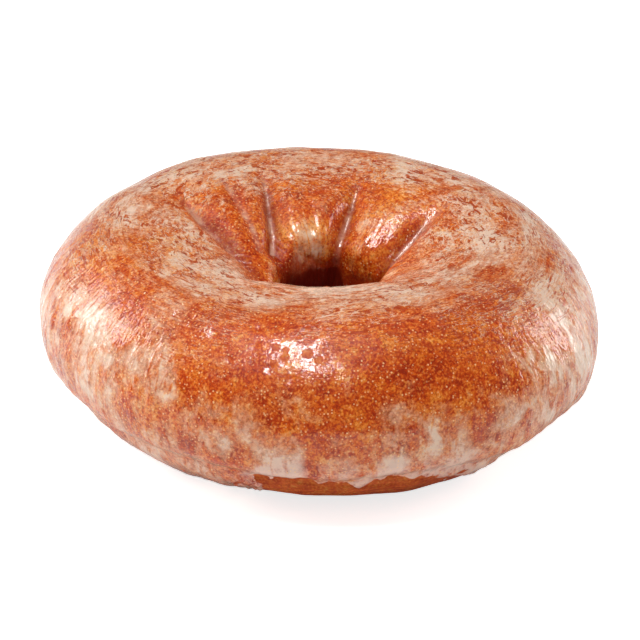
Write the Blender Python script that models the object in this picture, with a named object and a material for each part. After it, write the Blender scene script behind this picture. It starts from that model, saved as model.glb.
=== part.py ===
"""A glazed ring doughnut, modelled as one solid piece of fried dough.

The ring starts as a torus. Each of its points is then moved by a rule: first onto the
doughnut's section, whose width and height swell slowly round the ring, and then along the
surface normal, for the pleats that gather the dough into the hole, the soft lumps of the
skin, and the groove where the glazed top overhangs the base. Metres, +Z up, resting on
z = 0, with the origin under the middle of the ring.
"""

from math import radians

import bpy
import numpy as np
from mathutils import Vector, noise

MM = 0.001

# Driving dimensions of the ring
RING_WIDTH = 95.0 * MM
RING_HEIGHT = 31.6 * MM
HOLE_WIDTH = 16.4 * MM
HOLE_SHIFT = (1.5 * MM, 0.5 * MM)
BELLY_HEIGHT = 15.8 * MM
THROAT_HEIGHT = 19.2 * MM
CREST_RADIUS = 33.4 * MM
FOOT_RADIUS = 25.0 * MM
FOOT_FLATTENING = 1.3 * MM

BELLY_RADIUS = RING_WIDTH / 2
THROAT_RADIUS = HOLE_WIDTH / 2

# How full each quarter of the section is: 2 is an ellipse, less is leaner
SHOULDER_FULLNESS = 1.76
FUNNEL_FULLNESS = 2.05
UNDERSIDE_FULLNESS = 2.2
BASE_FULLNESS = 2.15

# Slow swells round the ring: (how many, amplitude, direction of the first one)
WIDTH_SWELLS = ((2, 0.85 * MM, -45), (3, 0.50 * MM, -58), (4, 0.33 * MM, -13), (5, 0.20 * MM, 24))
HEIGHT_SWELLS = ((1, 0.60 * MM, -176), (2, 0.42 * MM, -53), (3, 0.30 * MM, 44), (4, 0.20 * MM, 120))

# Pleats of the funnel, each straight in plan: (end at the hole, outer end, depth, half width).
# Each is deepest by the hole, and fades from a share of its length to its outer end.
PLEATS = (
    ((-6.2 * MM, 6.6 * MM), (-10.4 * MM, 27.5 * MM), 2.8 * MM, 1.7 * MM),
    ((3.1 * MM, 8.8 * MM), (8.2 * MM, 25.0 * MM), 2.6 * MM, 1.7 * MM),
    ((7.9 * MM, 2.4 * MM), (24.8 * MM, 15.4 * MM), 3.2 * MM, 2.2 * MM),
    ((7.3 * MM, -6.4 * MM), (14.0 * MM, -18.5 * MM), 1.6 * MM, 2.0 * MM),
    ((-5.6 * MM, -6.0 * MM), (-14.0 * MM, -16.5 * MM), 1.8 * MM, 2.4 * MM),
    ((-9.4 * MM, -3.2 * MM), (-28.0 * MM, 18.6 * MM), 3.3 * MM, 2.4 * MM),
    ((-9.0 * MM, 4.6 * MM), (-19.0 * MM, 25.5 * MM), 1.1 * MM, 2.2 * MM),
)
PLEAT_FADE_START = 0.4
PLEAT_SHARPNESS = 1.25
PLEAT_REACH_BELOW_THROAT = 13.0 * MM

# The overhang: the glazed top ends in a wavering rim, with a groove and a slimmer base below
RIM_HEIGHT = 9.0 * MM
RIM_SWELLS = ((1, 1.4 * MM, -160), (2, 0.9 * MM, -85), (3, 0.4 * MM, -70), (7, 0.35 * MM, -70))
GROOVE_DEPTH = 0.9 * MM
GROOVE_WIDTH = 1.6 * MM
BASE_SETBACK = 0.5 * MM

# Lumps of the skin: (size, height) of each layer of noise
SKIN_LUMPS = ((15.0 * MM, 0.55 * MM), (6.0 * MM, 0.22 * MM))

# Pleats stay on the inner side and the overhang on the outer side. Each fades over this
# span of the cosine of the section's angle, which is 1 at the belly and -1 at the throat.
PLEAT_SIDE_SPAN = (-0.1, 0.4)
OVERHANG_SIDE_SPAN = (-0.15, 0.25)

# The mesh: faces round the ring and round its section
RING_STEPS = 96
SECTION_STEPS = 40


def swell(swells, azimuth):
    """Sum of slow waves round the ring, at each azimuth."""
    return sum(size * np.cos(count * (azimuth - radians(peak))) for count, size, peak in swells)


def smooth_step(low, high, value):
    """0 below low and 1 above high, with a smooth rise between them."""
    share = np.clip((value - low) / (high - low), 0.0, 1.0)
    return share * share * (3.0 - 2.0 * share)


def section_point(angle):
    """Radius and height of the section at an angle: 0 belly, 90 crest, 180 throat, 270 foot."""
    across, up = np.cos(angle), np.sin(angle)
    outside, above = across >= 0, up >= 0
    fullness = np.where(
        outside,
        np.where(above, SHOULDER_FULLNESS, BASE_FULLNESS),
        np.where(above, FUNNEL_FULLNESS, UNDERSIDE_FULLNESS),
    )
    middle = np.where(above, CREST_RADIUS, FOOT_RADIUS)
    side = np.where(outside, BELLY_RADIUS, THROAT_RADIUS)
    side_height = np.where(outside, BELLY_HEIGHT, THROAT_HEIGHT)
    end_height = np.where(above, RING_HEIGHT, -FOOT_FLATTENING)
    radius = middle + (side - middle) * np.abs(across) ** (2.0 / fullness)
    height = side_height + (end_height - side_height) * np.abs(up) ** (2.0 / fullness)
    return radius, height


def centred(points):
    """The points moved in plan until their bounds sit about the origin."""
    low, high = points.min(axis=0), points.max(axis=0)
    return points - (low + high) / 2 * (1.0, 1.0, 0.0)


def uneven_section(azimuth, angle):
    """The section's point at each azimuth, with the ring's slow swells and its hole off centre."""
    radius, height = section_point(angle)
    outward = (radius - THROAT_RADIUS) / (BELLY_RADIUS - THROAT_RADIUS)
    radius = radius + outward * swell(WIDTH_SWELLS, azimuth)
    height = height * (1.0 + swell(HEIGHT_SWELLS, azimuth) / RING_HEIGHT)
    points = np.column_stack((radius * np.cos(azimuth), radius * np.sin(azimuth), height))
    return centred(points) + (1.0 - outward)[:, None] * (*HOLE_SHIFT, 0.0)


def pleat_depth(points, angle):
    """How far the pleats pull the skin in at each point."""
    depth = np.zeros(len(points))
    above_throat = np.sin(angle) >= 0
    inner_side = 1.0 - smooth_step(*PLEAT_SIDE_SPAN, np.cos(angle))
    below = smooth_step(THROAT_HEIGHT - PLEAT_REACH_BELOW_THROAT, THROAT_HEIGHT, points[:, 2])
    for at_hole, at_end, deepest, half_width in PLEATS:
        start, run = np.array(at_hole), np.array(at_end) - np.array(at_hole)
        along = np.clip((points[:, :2] - start) @ run / (run @ run), 0.0, 1.0)
        nearest = start + along[:, None] * run
        aside = np.hypot(*(points[:, :2] - nearest).T) / half_width
        reach = np.where(above_throat, 1.0 - smooth_step(PLEAT_FADE_START, 1.0, along), below)
        depth += deepest * reach * np.exp(-(aside**PLEAT_SHARPNESS)) * inner_side
    return depth


def overhang_depth(azimuth, height, angle):
    """How far the skin sits back below the rim of the fried top, on the outer side."""
    rim = RIM_HEIGHT + swell(RIM_SWELLS, azimuth)
    groove = np.exp(-(((height - rim + GROOVE_WIDTH) / GROOVE_WIDTH) ** 2))
    below = smooth_step(0.0, 2.0 * GROOVE_WIDTH, rim - height)
    outer_side = smooth_step(*OVERHANG_SIDE_SPAN, np.cos(angle))
    return (GROOVE_DEPTH * groove + BASE_SETBACK * below) * outer_side


def lump_height(points):
    """Height of the skin's soft lumps at each point."""
    heights = np.zeros(len(points))
    for size, tall in SKIN_LUMPS:
        heights += [tall * noise.noise(Vector(point) / size) for point in points]
    return heights


def vertex_table(mesh, source, name):
    """One vector of every vertex, as rows of a table."""
    values = np.empty(len(mesh.vertices) * 3)
    source.foreach_get(name, values)
    return values.reshape(-1, 3)


def move_vertices(mesh, points):
    mesh.vertices.foreach_set("co", points.ravel())
    mesh.update()


def shape_ring(mesh, tube_centre):
    """Moves the torus's points onto the doughnut, which then rests on z = 0."""
    plain = vertex_table(mesh, mesh.vertices, "co")
    azimuth = np.arctan2(plain[:, 1], plain[:, 0])
    angle = np.arctan2(plain[:, 2], np.hypot(plain[:, 0], plain[:, 1]) - tube_centre)

    points = uneven_section(azimuth, angle)
    move_vertices(mesh, points)
    outward = vertex_table(mesh, mesh.vertex_normals, "vector")

    relief = lump_height(points)
    relief -= pleat_depth(points, angle)
    relief -= overhang_depth(azimuth, points[:, 2], angle)
    points = points + outward * relief[:, None]
    points[:, 2] = np.maximum(points[:, 2], 0.0)
    move_vertices(mesh, centred(points))


def crust_material():
    """Fried dough under a thin sugar glaze: orange brown, with a low sheen."""
    material = bpy.data.materials.new("glazed_crust")
    material.use_nodes = True
    shader = material.node_tree.nodes["Principled BSDF"]
    shader.inputs["Base Color"].default_value = (0.52, 0.18, 0.055, 1.0)
    shader.inputs["Roughness"].default_value = 0.3
    shader.inputs["Metallic"].default_value = 0.0
    return material


def make_doughnut():
    tube_centre = (BELLY_RADIUS + THROAT_RADIUS) / 2
    bpy.ops.mesh.primitive_torus_add(
        major_segments=RING_STEPS,
        minor_segments=SECTION_STEPS,
        major_radius=tube_centre,
        minor_radius=(BELLY_RADIUS - THROAT_RADIUS) / 2,
        generate_uvs=False,
    )
    doughnut = bpy.context.object
    doughnut.name = doughnut.data.name = "doughnut"
    shape_ring(doughnut.data, tube_centre)
    doughnut.data.shade_smooth()
    doughnut.data.materials.append(crust_material())
    return doughnut


def main():
    for leftover in list(bpy.data.objects):
        bpy.data.objects.remove(leftover)
    pastry = bpy.data.collections.new("glazed_ring_doughnut")
    bpy.context.scene.collection.children.link(pastry)
    doughnut = make_doughnut()
    for holder in list(doughnut.users_collection):
        holder.objects.unlink(doughnut)
    pastry.objects.link(doughnut)


main()
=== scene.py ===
"""The looks of a glazed ring doughnut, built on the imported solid.

The ring is fried yeast dough under a thin coat of sugar glaze. It rests on z = 0 with its
hole upright; metres, +Z up, seen in the picture from -Y.
"""

from math import cos, radians, sin

import bpy
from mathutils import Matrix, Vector


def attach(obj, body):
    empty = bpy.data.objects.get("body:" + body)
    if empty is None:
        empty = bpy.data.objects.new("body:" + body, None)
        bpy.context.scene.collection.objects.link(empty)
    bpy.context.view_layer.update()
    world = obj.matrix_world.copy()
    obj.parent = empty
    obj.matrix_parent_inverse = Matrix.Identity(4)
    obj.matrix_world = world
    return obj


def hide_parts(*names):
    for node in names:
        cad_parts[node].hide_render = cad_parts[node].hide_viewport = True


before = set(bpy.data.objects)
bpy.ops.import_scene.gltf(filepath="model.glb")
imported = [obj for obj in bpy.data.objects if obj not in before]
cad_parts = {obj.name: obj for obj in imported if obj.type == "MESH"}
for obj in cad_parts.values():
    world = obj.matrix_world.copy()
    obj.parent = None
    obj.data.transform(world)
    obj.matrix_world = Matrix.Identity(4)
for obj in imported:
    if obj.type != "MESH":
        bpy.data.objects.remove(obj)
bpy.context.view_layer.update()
MM = 0.001


# The ring of dough: yeast dough cut as a ring, proved, and fried on both sides, so that it
# swells into a fat tube, gathers into pleats round its hole, and keeps a flat underside.
# A torus is moved onto the doughnut's section by a node tree, then pleated and lumped.
RING_SIZES = {
    "Ring width": 95.0 * MM,
    "Ring height": 31.6 * MM,
    "Hole width": 16.4 * MM,
    "Belly height": 15.8 * MM,
    "Throat height": 19.2 * MM,
    "Crest radius": 33.4 * MM,
    "Foot radius": 25.0 * MM,
    "Foot flattening": 1.3 * MM,
    # How full each quarter of the section is: 2 is an ellipse, less is leaner
    "Shoulder fullness": 1.76,
    "Funnel fullness": 2.05,
    "Underside fullness": 2.2,
    "Base fullness": 2.15,
    "Rim height": 9.0 * MM,
    "Groove depth": 0.9 * MM,
    "Groove width": 1.6 * MM,
    "Base setback": 0.5 * MM,
    "Lobe height": 0.9 * MM,
    "Undercut": 0.7 * MM,
    "Large lump height": 1.0 * MM,
    "Small lump height": 0.4 * MM,
}
HOLE_SHIFT = (1.5 * MM, 0.5 * MM, 0.0)
# Slow swells round the ring: (how many, amplitude, direction of the first one)
WIDTH_SWELLS = ((2, 0.85 * MM, -45), (3, 0.50 * MM, -58), (4, 0.33 * MM, -13), (5, 0.20 * MM, 24))
HEIGHT_SWELLS = ((1, 0.60 * MM, -176), (2, 0.42 * MM, -53), (3, 0.30 * MM, 44), (4, 0.20 * MM, 120))
RIM_SWELLS = ((1, 1.4 * MM, -160), (2, 0.9 * MM, -85), (3, 0.4 * MM, -70), (7, 0.35 * MM, -70))
# Pleats, each straight in plan: (end at the hole, outer end, depth, half width)
PLEATS = (
    ((-6.2 * MM, 6.6 * MM, 0), (-10.4 * MM, 27.5 * MM, 0), 2.8 * MM, 1.7 * MM),
    ((3.1 * MM, 8.8 * MM, 0), (8.2 * MM, 25.0 * MM, 0), 2.6 * MM, 1.7 * MM),
    ((7.9 * MM, 2.4 * MM, 0), (24.8 * MM, 15.4 * MM, 0), 3.2 * MM, 2.2 * MM),
    ((7.3 * MM, -6.4 * MM, 0), (14.0 * MM, -18.5 * MM, 0), 1.6 * MM, 2.0 * MM),
    ((-5.6 * MM, -6.0 * MM, 0), (-14.0 * MM, -16.5 * MM, 0), 1.8 * MM, 2.4 * MM),
    ((-9.4 * MM, -3.2 * MM, 0), (-28.0 * MM, 18.6 * MM, 0), 3.3 * MM, 2.4 * MM),
    ((-9.0 * MM, 4.6 * MM, 0), (-19.0 * MM, 25.5 * MM, 0), 1.1 * MM, 2.2 * MM),
)
PLEAT_REACH_BELOW_THROAT = 13.0 * MM
# From this share of its length a pleat fades to its outer end
PLEAT_FADE_START = 0.4
# A pleat's depth falls off as exp(-aside ** 1.25), with its sharp bottom rounded by this much
PLEAT_ROUNDING, HALF_PLEAT_POWER = 0.07, 0.625
# Where the line along a pleat's bottom fades, in half widths from its middle. The material paints
# it pale, partly as pooled glaze and partly as a painted highlight.
PLEAT_LINE = (0.08, 0.36)
# Pleats stay on the inner side and the overhang on the outer side. Each fades over this
# span of the cosine of the section's angle, which is 1 at the belly and -1 at the throat.
PLEAT_SIDE_SPAN = (-0.1, 0.4)
OVERHANG_SIDE_SPAN = (-0.15, 0.25)
# Where the foot is drawn in under the flank: (middle and radius in millimetres, how far)
FOOT_TUCKS = (
    ((22, -41, 0), 10, 1.1 * MM),
    ((38, -25, 4), 12, 1.2 * MM),
    ((32, -33, 0), 11, 0.7 * MM),
)
# The rear lobe's ridge: (middle and radius in millimetres, how far it stands out)
RIDGES = (
    ((2.5, 10.5, 24), 5.0, 1.1 * MM),
    ((2.5, 15.5, 28), 5.0, 0.8 * MM),
)
# The lobe between the two rear pleats turns down into the hole sooner than the others: from
# and to these azimuths in degrees, and by this much of the section's angle
LOBE_FROM, LOBE_TO, LOBE_TURNS_SOONER = (72, 84), (124, 150), 0.19
# Where the lobes swell and where they are undercut: (section's angle, how far it spreads)
LOBE_LIP, LOBE_UNDERCUT = (-1.20, 0.18), (-1.62, 0.16)
# The lobes' ends waver: width of the waves, and how much of the section's angle they take
LOBE_WAVES, LOBE_WAVER = 3.0 * MM, 0.35
# No lobe swells in a pleat deeper than this
NO_LOBE_DEPTH = 1.6 * MM
# Widths of the skin's lumps
LARGE_LUMPS, SMALL_LUMPS = 15.0 * MM, 6.0 * MM
# The torus's faces round the ring and round its section. The tree cuts each into four.
RING_STEPS = 256
SECTION_STEPS = 96
# Spots are flat over this share of their radius
SPOT_FLAT = 0.2
MATH, VECTOR = "ShaderNodeMath", "ShaderNodeVectorMath"
RANGE, MIX, NOISE = "ShaderNodeMapRange", "ShaderNodeMix", "ShaderNodeTexNoise"
NAMED, STORE = "GeometryNodeInputNamedAttribute", "GeometryNodeStoreNamedAttribute"
EASED, COLOURS = {"interpolation_type": "SMOOTHSTEP"}, {"data_type": "RGBA"}


def add_node(tree, kind, *values, **settings):
    """Adds a node with its settings, and gives its open inputs, in order, a value or a link."""
    made = tree.nodes.new(kind)
    for name, setting in settings.items():
        setattr(made, name, setting)
    for socket, value in zip([socket for socket in made.inputs if socket.enabled], values):
        if isinstance(value, bpy.types.Node):
            value = next(output for output in value.outputs if output.enabled)
        if isinstance(value, bpy.types.NodeSocket):
            tree.links.new(value, socket)
        elif value is not None:
            socket.default_value = value
    return made


def new_tree(name, sizes):
    """A geometry tree with a geometry in and out and an input for each size."""
    tree = bpy.data.node_groups.new(name, "GeometryNodeTree")
    tree.interface.new_socket("Geometry", in_out="OUTPUT", socket_type="NodeSocketGeometry")
    tree.interface.new_socket("Geometry", in_out="INPUT", socket_type="NodeSocketGeometry")
    for size in sizes:
        tree.interface.new_socket(size, in_out="INPUT", socket_type="NodeSocketFloat")
    return tree, add_node(tree, "NodeGroupInput")


def run_tree(piece, tree, sizes):
    """Puts the tree on the piece as a modifier, with its sizes set by identifier."""
    modifier = piece.modifiers.new(tree.name, "NODES")
    modifier.node_group = tree
    for socket in tree.interface.items_tree:
        if socket.name in sizes:
            modifier[socket.identifier] = sizes[socket.name]


def slow_swell(tree, azimuth, waves):
    """Sum of slow waves round the ring: (how many, amplitude, direction of the first one)."""
    total = None
    for count, size, peak in waves:
        turned = add_node(tree, MATH, azimuth, radians(peak), operation="SUBTRACT")
        turned = add_node(tree, MATH, turned, float(count), operation="MULTIPLY")
        wave = add_node(tree, MATH, turned, operation="COSINE")
        total = add_node(tree, MATH, wave, size, total or 0.0, operation="MULTIPLY_ADD")
    return total


def spread_spots(tree, place, spots):
    """Sum of soft round spots: (middle and radius in millimetres, how much at the middle)."""
    total = None
    for middle, radius, amount in spots:
        middle = [distance * MM for distance in middle]
        radius = radius * MM
        away = add_node(tree, VECTOR, place, middle, operation="DISTANCE")
        spot = add_node(tree, RANGE, away, radius * SPOT_FLAT, radius, amount, 0.0, **EASED)
        total = add_node(tree, MATH, spot, total or 0.0, operation="ADD")
    return total


# One pleat, straight in plan, deepest at the hole and fading out towards its outer end
pleat_tree = bpy.data.node_groups.new("one_pleat", "GeometryNodeTree")
pleat_tree.interface.new_socket("Depth here", in_out="OUTPUT", socket_type="NodeSocketFloat")
pleat_tree.interface.new_socket("Bottom line", in_out="OUTPUT", socket_type="NodeSocketFloat")
for name, kind in (("At the hole", "Vector"), ("Outer end", "Vector"), ("Deepest", "Float"),
                   ("Half width", "Float"), ("Below the throat", "Float"), ("Above", "Float")):
    pleat_tree.interface.new_socket(name, in_out="INPUT", socket_type="NodeSocket" + kind)
given = add_node(pleat_tree, "NodeGroupInput")
place = add_node(pleat_tree, "GeometryNodeInputPosition")
plan = add_node(pleat_tree, VECTOR, place, (1, 1, 0), operation="MULTIPLY")
run = add_node(pleat_tree, VECTOR, given.outputs["Outer end"], given.outputs["At the hole"],
               operation="SUBTRACT")
from_hole = add_node(pleat_tree, VECTOR, plan, given.outputs["At the hole"], operation="SUBTRACT")
share = add_node(pleat_tree, VECTOR, from_hole, run, operation="DOT_PRODUCT")
whole = add_node(pleat_tree, VECTOR, run, run, operation="DOT_PRODUCT")
along = add_node(pleat_tree, MATH, share, whole, operation="DIVIDE", use_clamp=True)
crease = add_node(pleat_tree, VECTOR, run, operation="SCALE")
pleat_tree.links.new(along.outputs[0], crease.inputs["Scale"])
aside = add_node(pleat_tree, VECTOR, from_hole, crease, operation="DISTANCE")
aside = add_node(pleat_tree, MATH, aside, given.outputs["Half width"], operation="DIVIDE")
rounded = add_node(pleat_tree, MATH, aside, aside, PLEAT_ROUNDING, operation="MULTIPLY_ADD")
rounded = add_node(pleat_tree, MATH, rounded, HALF_PLEAT_POWER, operation="POWER")
falloff = add_node(pleat_tree, MATH, PLEAT_ROUNDING**HALF_PLEAT_POWER, rounded,
                   operation="SUBTRACT")
falloff = add_node(pleat_tree, MATH, falloff, operation="EXPONENT")
fade = add_node(pleat_tree, RANGE, along, PLEAT_FADE_START, 1.0, 1.0, 0.0, **EASED)
kept = add_node(pleat_tree, MIX, given.outputs["Above"], given.outputs["Below the throat"], fade)
depth_here = add_node(pleat_tree, MATH, falloff, kept, operation="MULTIPLY")
depth_here = add_node(pleat_tree, MATH, depth_here, given.outputs["Deepest"], operation="MULTIPLY")
bottom = add_node(pleat_tree, RANGE, aside, *PLEAT_LINE, 1.0, 0.0)
bottom = add_node(pleat_tree, MATH, bottom, kept, operation="MULTIPLY")
add_node(pleat_tree, "NodeGroupOutput", depth_here, bottom)

# The section: a quarter of a superellipse each for shoulder, funnel, underside and base. The
# torus is cut finer first, so each point is taken back onto its round section.
form, sizes_in = new_tree("ring_of_dough", RING_SIZES)
size = sizes_in.outputs
place = add_node(form, "GeometryNodeInputPosition")
plan = add_node(form, VECTOR, place, (1, 1, 0), operation="MULTIPLY")
direction = add_node(form, VECTOR, plan, operation="NORMALIZE")
apart = add_node(form, "ShaderNodeSeparateXYZ", place)
azimuth = add_node(form, MATH, apart.outputs["Y"], apart.outputs["X"], operation="ARCTAN2")
belly = add_node(form, MATH, size["Ring width"], 2.0, operation="DIVIDE")
throat = add_node(form, MATH, size["Hole width"], 2.0, operation="DIVIDE")
tube_centre = add_node(form, MATH, belly, throat, operation="ADD")
tube_centre = add_node(form, MATH, tube_centre, 2.0, operation="DIVIDE")
tube_radius = add_node(form, MATH, belly, tube_centre, operation="SUBTRACT")
across = add_node(form, VECTOR, plan, operation="LENGTH")
across = add_node(form, MATH, across, tube_centre, operation="SUBTRACT")
across = add_node(form, MATH, across, tube_radius, operation="DIVIDE")
up = add_node(form, MATH, apart.outputs["Z"], tube_radius, operation="DIVIDE")
round_section = add_node(form, MATH, up, across, operation="ARCTAN2")
across = add_node(form, MATH, round_section, operation="COSINE")
up = add_node(form, MATH, round_section, operation="SINE")
outside = add_node(form, MATH, across, 0.0, operation="GREATER_THAN")
above = add_node(form, MATH, up, 0.0, operation="GREATER_THAN")
fullness = add_node(
    form, MIX, outside,
    add_node(form, MIX, above, size["Underside fullness"], size["Funnel fullness"]),
    add_node(form, MIX, above, size["Base fullness"], size["Shoulder fullness"]))
power = add_node(form, MATH, 2.0, fullness, operation="DIVIDE")
middle = add_node(form, MIX, above, size["Foot radius"], size["Crest radius"])
side = add_node(form, MIX, outside, throat, belly)
side_height = add_node(form, MIX, outside, size["Throat height"], size["Belly height"])
foot = add_node(form, MATH, size["Foot flattening"], -1.0, operation="MULTIPLY")
end_height = add_node(form, MIX, above, foot, size["Ring height"])
share_across = add_node(form, MATH, add_node(form, MATH, across, operation="ABSOLUTE"), power,
                        operation="POWER")
share_up = add_node(form, MATH, add_node(form, MATH, up, operation="ABSOLUTE"), power,
                    operation="POWER")
radius = add_node(form, MIX, share_across, middle, side)
height = add_node(form, MIX, share_up, side_height, end_height)

# The ring's slow swells in width and height, and its hole off centre
outward = add_node(form, RANGE, radius, throat, belly, 0.0, 1.0)
radius = add_node(form, MATH, outward, slow_swell(form, azimuth, WIDTH_SWELLS), radius,
                  operation="MULTIPLY_ADD")
taller = add_node(form, MATH, slow_swell(form, azimuth, HEIGHT_SWELLS), size["Ring height"],
                  operation="DIVIDE")
height = add_node(form, MATH, taller, height, height, operation="MULTIPLY_ADD")
point = add_node(form, VECTOR, direction, operation="SCALE")
form.links.new(radius.outputs[0], point.inputs["Scale"])
point = add_node(form, VECTOR, point, add_node(form, "ShaderNodeCombineXYZ", 0.0, 0.0, height),
                 operation="ADD")
fine = add_node(form, "GeometryNodeSubdivideMesh", sizes_in, 1)
limits = add_node(form, "GeometryNodeAttributeStatistic", fine, None, point,
                  data_type="FLOAT_VECTOR")
centre = add_node(form, VECTOR, limits.outputs["Min"], limits.outputs["Max"], operation="ADD")
centre = add_node(form, VECTOR, centre, (0.5, 0.5, 0.0), operation="MULTIPLY")
point = add_node(form, VECTOR, point, centre, operation="SUBTRACT")
inward = add_node(form, MATH, 1.0, outward, operation="SUBTRACT")
shift = add_node(form, VECTOR, HOLE_SHIFT, operation="SCALE")
form.links.new(inward.outputs[0], shift.inputs["Scale"])
point = add_node(form, VECTOR, point, shift, operation="ADD")

# What the glaze and the material need to know of each point: how far round the section it is,
# from the crest out over the belly, and the same as a distance along the skin
section_angle = add_node(form, MATH, across, up, operation="ARCTAN2")
flow_down = add_node(form, MATH, section_angle, tube_radius, operation="MULTIPLY")
flow = add_node(form, VECTOR, direction, operation="SCALE")
form.links.new(size["Crest radius"], flow.inputs["Scale"])
flow = add_node(form, VECTOR, flow, add_node(form, "ShaderNodeCombineXYZ", 0.0, 0.0, flow_down),
                operation="ADD")
shaped = add_node(form, STORE, fine, None, "flow", flow, data_type="FLOAT_VECTOR")
for name, known in (("section_angle", section_angle), ("across", across),
                    ("azimuth", azimuth), ("above", above)):
    shaped = add_node(form, STORE, shaped, None, name, known)
shaped = add_node(form, "GeometryNodeSetPosition", shaped, None, point)

# The pleats, added up, and the lines along their bottoms
across = add_node(form, NAMED, "across")
azimuth = add_node(form, NAMED, "azimuth")
above = add_node(form, NAMED, "above")
place = add_node(form, "GeometryNodeInputPosition")
level = add_node(form, "ShaderNodeSeparateXYZ", place).outputs["Z"]
lowest = add_node(form, MATH, size["Throat height"], PLEAT_REACH_BELOW_THROAT, operation="SUBTRACT")
below = add_node(form, RANGE, level, lowest, size["Throat height"], 0.0, 1.0, **EASED)
pleats = bottoms = None
for at_hole, outer_end, deepest, half_width in PLEATS:
    pleat = add_node(form, "GeometryNodeGroup", at_hole, outer_end, deepest, half_width, below,
                     above, node_tree=pleat_tree)
    pleats = add_node(form, MATH, pleat, pleats or 0.0, operation="ADD")
    bottoms = add_node(form, MATH, pleat.outputs[1], bottoms or 0.0, operation="MAXIMUM")
inner_side = add_node(form, RANGE, across, *PLEAT_SIDE_SPAN, 1.0, 0.0, **EASED)
pleats = add_node(form, MATH, pleats, inner_side, operation="MULTIPLY")
bottoms = add_node(form, MATH, bottoms, inner_side, operation="MULTIPLY")

# Between the pleats the dough ends in lobes, which swell above the throat and are undercut below
starts = add_node(form, RANGE, azimuth, *[radians(a) for a in LOBE_FROM], 0.0, 1.0, **EASED)
ends = add_node(form, RANGE, azimuth, *[radians(a) for a in LOBE_TO], 1.0, 0.0, **EASED)
sooner = add_node(form, MATH, starts, ends, operation="MULTIPLY")
sooner = add_node(form, MATH, sooner, LOBE_TURNS_SOONER, operation="MULTIPLY")
uneven = add_node(form, NOISE, place, 1.0 / LOBE_WAVES, 2.0)
uneven = add_node(form, MATH, uneven.outputs[0], 0.5, operation="SUBTRACT")
turning = add_node(form, MATH, add_node(form, NAMED, "section_angle"), sooner, operation="SUBTRACT")
turning = add_node(form, MATH, uneven, LOBE_WAVER, turning, operation="MULTIPLY_ADD")
undercut = add_node(form, MATH, size["Undercut"], -1.0, operation="MULTIPLY")
lobes = None
for (at_angle, spread), height in ((LOBE_LIP, size["Lobe height"]), (LOBE_UNDERCUT, undercut)):
    away = add_node(form, MATH, turning, at_angle, operation="SUBTRACT")
    away = add_node(form, MATH, away, spread, operation="DIVIDE")
    away = add_node(form, MATH, away, away, operation="MULTIPLY")
    away = add_node(form, MATH, away, -1.0, operation="MULTIPLY")
    swelling = add_node(form, MATH, away, operation="EXPONENT")
    lobes = add_node(form, MATH, swelling, height, lobes or 0.0, operation="MULTIPLY_ADD")
between = add_node(form, RANGE, pleats, 0.0, NO_LOBE_DEPTH, 1.0, 0.0)
lobes = add_node(form, MATH, lobes, between, operation="MULTIPLY")

# The fried top overhangs the base: below its rim there is a groove, and the skin sits back
rim = add_node(form, MATH, slow_swell(form, azimuth, RIM_SWELLS), size["Rim height"],
               operation="ADD")
under_rim = add_node(form, MATH, rim, level, operation="SUBTRACT")
groove = add_node(form, MATH, under_rim, size["Groove width"], operation="SUBTRACT")
groove = add_node(form, MATH, groove, size["Groove width"], operation="DIVIDE")
groove = add_node(form, MATH, groove, groove, operation="MULTIPLY")
groove = add_node(form, MATH, groove, -1.0, operation="MULTIPLY")
groove = add_node(form, MATH, groove, operation="EXPONENT")
groove = add_node(form, MATH, groove, size["Groove depth"], operation="MULTIPLY")
twice = add_node(form, MATH, size["Groove width"], 2.0, operation="MULTIPLY")
setback = add_node(form, RANGE, under_rim, 0.0, twice, 0.0, 1.0, **EASED)
overhang = add_node(form, MATH, setback, size["Base setback"], groove, operation="MULTIPLY_ADD")
outer_side = add_node(form, RANGE, across, *OVERHANG_SIDE_SPAN, 0.0, 1.0, **EASED)
tucked = spread_spots(form, place, FOOT_TUCKS)
overhang = add_node(form, MATH, overhang, tucked, operation="ADD")
overhang = add_node(form, MATH, overhang, outer_side, operation="MULTIPLY")

# With the soft lumps of the skin, all of it moves the skin along its normal
relief = None
for name, width in (("Large lump height", LARGE_LUMPS), ("Small lump height", SMALL_LUMPS)):
    lumps = add_node(form, NOISE, place, 1.0 / width, 0.0)
    lumps = add_node(form, MATH, lumps.outputs[0], 0.5, operation="SUBTRACT")
    relief = add_node(form, MATH, lumps, size[name], relief or 0.0, operation="MULTIPLY_ADD")
relief = add_node(form, MATH, relief, lobes, operation="ADD")
relief = add_node(form, MATH, relief, spread_spots(form, place, RIDGES), operation="ADD")
relief = add_node(form, MATH, relief, pleats, operation="SUBTRACT")
relief = add_node(form, MATH, relief, overhang, operation="SUBTRACT")
push = add_node(form, VECTOR, add_node(form, "GeometryNodeInputNormal"), operation="SCALE")
form.links.new(relief.outputs[0], push.inputs["Scale"])
for name, known in (("pleat_depth", pleats), ("pleat_bottom", bottoms), ("turning", turning)):
    shaped = add_node(form, STORE, shaped, None, name, known)
shaped = add_node(form, "GeometryNodeSetPosition", shaped, None, None, push)
add_node(form, "NodeGroupOutput", shaped)

tube_middle = (RING_SIZES["Ring width"] + RING_SIZES["Hole width"]) / 4
bpy.ops.mesh.primitive_torus_add(
    major_segments=RING_STEPS,
    minor_segments=SECTION_STEPS,
    major_radius=tube_middle,
    minor_radius=RING_SIZES["Ring width"] / 2 - tube_middle,
    generate_uvs=True,
)
ring = bpy.context.object
ring.name = "doughnut_torus"
run_tree(ring, form, RING_SIZES)


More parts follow.
